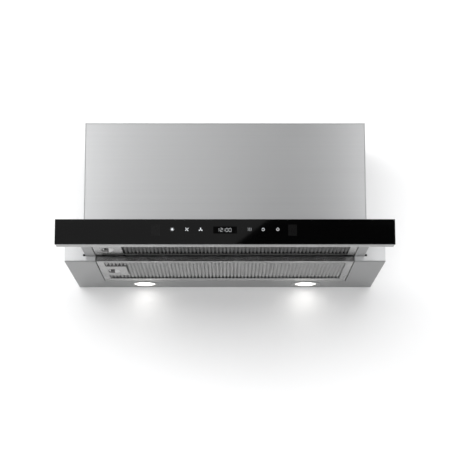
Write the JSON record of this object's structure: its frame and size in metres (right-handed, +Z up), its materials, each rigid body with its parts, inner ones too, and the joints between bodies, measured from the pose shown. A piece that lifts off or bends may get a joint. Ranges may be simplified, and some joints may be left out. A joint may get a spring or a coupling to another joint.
{
  "type": "pull out range hood",
  "caption": "Built-in kitchen range hood with a glass-fronted slider, drop-down grease filters, lamps, blower and a flapped duct outlet.",
  "frame": {"origin": "on the back face that lies against the wall, halfway across the width and 150 mm above the underside of the lower body", "axes": "+Y square to the back face, towards the wall; +X to the right as seen from the front, along the width; +Z up. The front panel faces -Y"},
  "size_m": [0.598, 0.437, 0.3043],
  "materials": {
    "outer_steel": "stainless sheet, fine brushing along the width",
    "inner_steel": "galvanised sheet, dull with a faint spangle",
    "rail_steel": "zinc-plated, smooth",
    "filter_aluminium": "rolled aluminium, satin",
    "filter_mesh": "pleated expanded aluminium",
    "panel_aluminium": "satin anodised",
    "black_glass": "toughened glass, printed black on the back, polished face",
    "grey_plastic": "moulded, fine grain",
    "black_plastic": "moulded, fine grain",
    "white_plastic": "moulded, satin",
    "circuit_board": "green solder mask",
    "rubber": "matt black",
    "lamp_lens": "opal diffuser, lit"
  },
  "bodies": {
    "housing": {"base_underside": "outer_steel", "base_left_cheek": "outer_steel", "base_right_cheek": "outer_steel", "base_rear_wall": "inner_steel", "base_top_plate": "inner_steel", "left_glide_pad": "rubber", "right_glide_pad": "rubber", "left_rail_hanger": "inner_steel", "right_rail_hanger": "inner_steel", "left_fixed_rail": "rail_steel", "right_fixed_rail": "rail_steel", "housing_front_panel": "outer_steel", "housing_left_panel": "outer_steel", "housing_right_panel": "outer_steel", "housing_rear_panel": "inner_steel", "housing_top_panel": "inner_steel", "blower_scroll": "black_plastic", "blower_left_plate": "black_plastic", "blower_right_plate": "black_plastic", "motor": "inner_steel", "motor_bracket": "inner_steel", "outlet_collar": "black_plastic", "control_box": "white_plastic", "control_box_lid": "white_plastic", "power_board": "circuit_board", "motor_capacitor": "white_plastic", "mains_gland": "black_plastic", "lamp_harness": "rubber", "left_lamp_bezel": "rail_steel", "right_lamp_bezel": "rail_steel", "left_lamp_lens": "lamp_lens", "right_lamp_lens": "lamp_lens", "left_lamp_body": "grey_plastic", "right_lamp_body": "grey_plastic"},
    "fan_wheel": {"impeller": "grey_plastic", "motor_shaft": "rail_steel"},
    "front_flap": {"damper_front_flap": "black_plastic"},
    "rear_flap": {"damper_rear_flap": "black_plastic"},
    "left_runner": {"left_middle_rail": "rail_steel"},
    "right_runner": {"right_middle_rail": "rail_steel"},
    "slider": {"slider_left_side": "outer_steel", "slider_right_side": "outer_steel", "slider_cover": "outer_steel", "slider_rear_bar": "inner_steel", "left_inner_rail": "rail_steel", "right_inner_rail": "rail_steel", "glass_fascia": "black_glass", "panel_frame": "panel_aluminium", "panel_back": "outer_steel", "touch_board": "circuit_board", "display_module": "black_plastic"},
    "front_filter": {"front_filter_frame": "filter_aluminium", "front_filter_mesh": "filter_mesh", "front_filter_handle": "filter_aluminium"},
    "front_latch": {"front_filter_latch": "rail_steel"},
    "rear_filter": {"rear_filter_frame": "filter_aluminium", "rear_filter_mesh": "filter_mesh", "rear_filter_handle": "filter_aluminium"},
    "rear_latch": {"rear_filter_latch": "rail_steel"}
  },
  "joints": [
    {"name": "slider_pull", "type": "slide", "parent": "housing", "child": "slider", "axis": [0, -1, 0], "range_m": [-0.132, 0]},
    {"name": "left_runner_slide", "type": "slide", "parent": "housing", "child": "left_runner", "axis": [0, -1, 0], "range_m": [-0.066, 0]},
    {"name": "right_runner_slide", "type": "slide", "parent": "housing", "child": "right_runner", "axis": [0, -1, 0], "range_m": [-0.066, 0]},
    {"name": "impeller_spin", "type": "hinge", "parent": "housing", "child": "fan_wheel", "pos_m": [0, -0.092, 0.006], "axis": [1, 0, 0], "continuous": true},
    {"name": "front_flap_swing", "type": "hinge", "parent": "housing", "child": "front_flap", "pos_m": [0, -0.096, 0.129], "axis": [-1, 0, 0], "range_deg": [0, 80]},
    {"name": "rear_flap_swing", "type": "hinge", "parent": "housing", "child": "rear_flap", "pos_m": [0, -0.088, 0.129], "axis": [1, 0, 0], "range_deg": [0, 80]},
    {"name": "front_filter_swing", "type": "hinge", "parent": "slider", "child": "front_filter", "pos_m": [0.2392, -0.346, -0.1388], "axis": [0, -1, 0], "range_deg": [0, 35]},
    {"name": "rear_filter_swing", "type": "hinge", "parent": "housing", "child": "rear_filter", "pos_m": [0.2392, -0.17725, -0.1492], "axis": [0, -1, 0], "range_deg": [0, 35]},
    {"name": "front_latch_slide", "type": "slide", "parent": "front_filter", "child": "front_latch", "axis": [1, 0, 0], "range_m": [0, 0.005], "stiffness_N_per_m": 150},
    {"name": "rear_latch_slide", "type": "slide", "parent": "rear_filter", "child": "rear_latch", "axis": [1, 0, 0], "range_m": [0, 0.005], "stiffness_N_per_m": 150}
  ],
  "couplings": [
    {"joint": "left_runner_slide", "follows": "slider_pull", "ratio": 0.5},
    {"joint": "right_runner_slide", "follows": "slider_pull", "ratio": 0.5}
  ]
}
